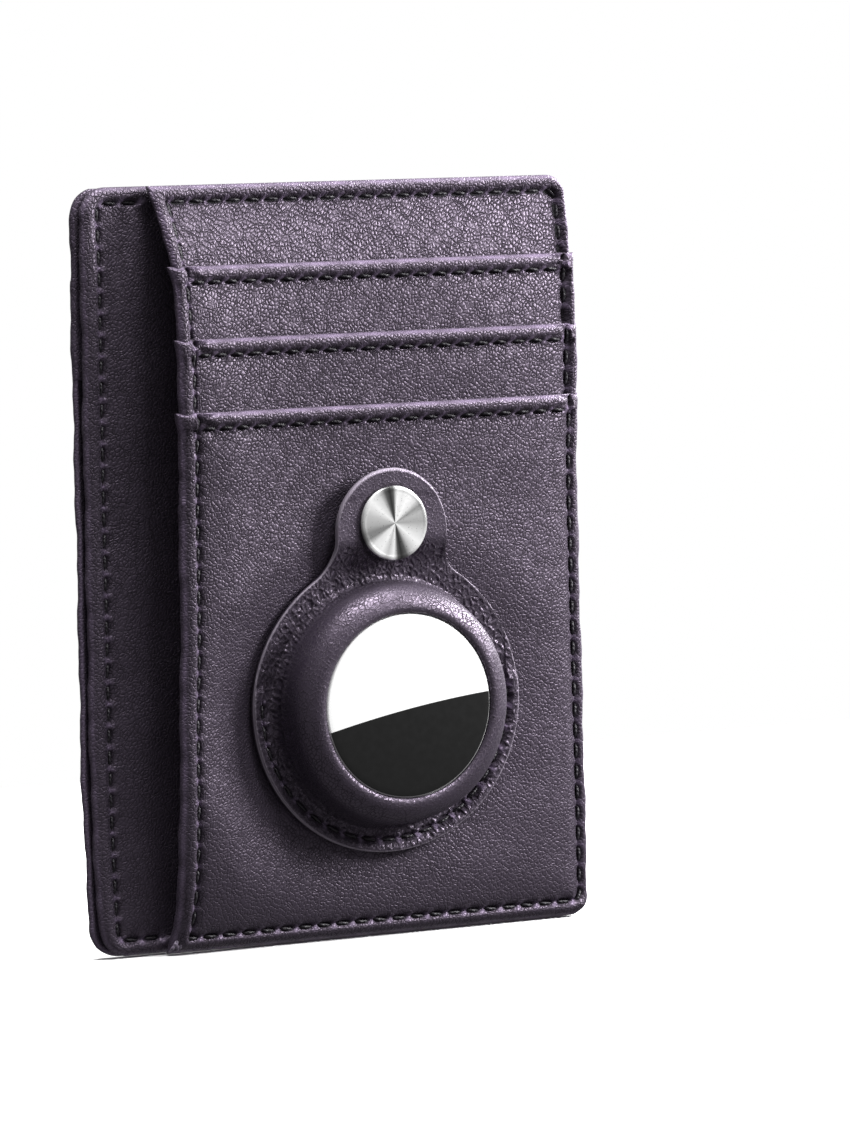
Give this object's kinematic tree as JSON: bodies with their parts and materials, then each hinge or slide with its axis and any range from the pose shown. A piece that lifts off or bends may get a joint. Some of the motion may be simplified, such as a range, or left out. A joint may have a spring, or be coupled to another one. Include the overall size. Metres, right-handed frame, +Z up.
{
  "type": "card wallet with tracker tag holder",
  "caption": "Slim leather card wallet with stacked card pockets, an ID window on the back, and a sewn holder with a snap tab that carries a round Bluetooth tracker tag.",
  "frame": {"origin": "centre of the bounding box's base, on the plane the wallet's bottom edge stands on", "axes": "+Z up along the wallet's height, -Y out of the front face that carries the holder, +X to the right as seen from the front"},
  "size_m": [0.0776, 0.0162, 0.107],
  "materials": {
    "leather": "pebbled dark purple-grey leather with a soft sheen",
    "leather_dark": "the same leather, smoother, inside the centre pocket",
    "lining_cloth": "thin black lining cloth",
    "thread": "waxed sewing thread",
    "clear_film": "clear flexible window film",
    "brushed_steel": "circular spun finish",
    "steel": "plain nickel-plated steel",
    "copper": "copper alloy spring and coil",
    "white_plastic": "glossy white moulded plastic",
    "polished_cover": "polished cover, upper part near white and lower part charcoal",
    "dark_plastic": "matt black moulded plastic",
    "circuit_board": "green solder mask"
  },
  "bodies": {
    "wallet": {"inner_panel": "leather_dark", "back_base_panel": "leather", "back_pocket_panel": "leather", "id_window_film": "clear_film", "front_lining": "lining_cloth", "front_base_panel": "leather", "upper_card_pocket": "leather", "middle_card_pocket": "leather", "front_panel": "leather", "front_seam_thread": "thread", "back_seam_thread": "thread", "left_seam_thread": "thread", "upper_slot_thread": "thread", "middle_slot_thread": "thread", "lower_slot_thread": "thread", "back_slot_thread": "thread", "window_thread": "thread", "holder_lower": "leather", "holder_thread": "thread", "snap_stud": "steel", "snap_post": "steel"},
    "holder_flap": {"holder_upper": "leather", "snap_socket": "steel", "snap_ring_spring": "copper", "snap_cap": "brushed_steel"},
    "tag": {"tag_shell": "white_plastic", "tag_circuit_board": "circuit_board", "tag_radio_chip": "dark_plastic", "tag_locator_chip": "dark_plastic", "tag_memory_chip": "dark_plastic", "tag_speaker_magnet": "steel", "tag_speaker_coil": "copper", "tag_inner_tray": "dark_plastic", "tag_coin_cell": "steel", "tag_negative_contact_left": "copper", "tag_negative_contact_right": "copper", "tag_positive_contact": "copper"},
    "battery_cover": {"tag_battery_cover": "polished_cover", "tag_cover_insulator": "dark_plastic"}
  },
  "joints": [
    {"name": "flap_bend", "type": "hinge", "parent": "wallet", "child": "holder_flap", "pos_m": [0.0054, -0.00809, 0.0332], "axis": [1, 0, 0], "range_deg": [0, 60]},
    {"name": "tag_turn", "type": "hinge", "parent": "wallet", "child": "tag", "pos_m": [0.0054, -0.00169, 0.0332], "axis": [0, 1, 0], "continuous": true},
    {"name": "cover_twist", "type": "hinge", "parent": "tag", "child": "battery_cover", "pos_m": [0.0054, -0.00169, 0.0332], "axis": [0, -1, 0], "range_deg": [0, 30]}
  ]
}
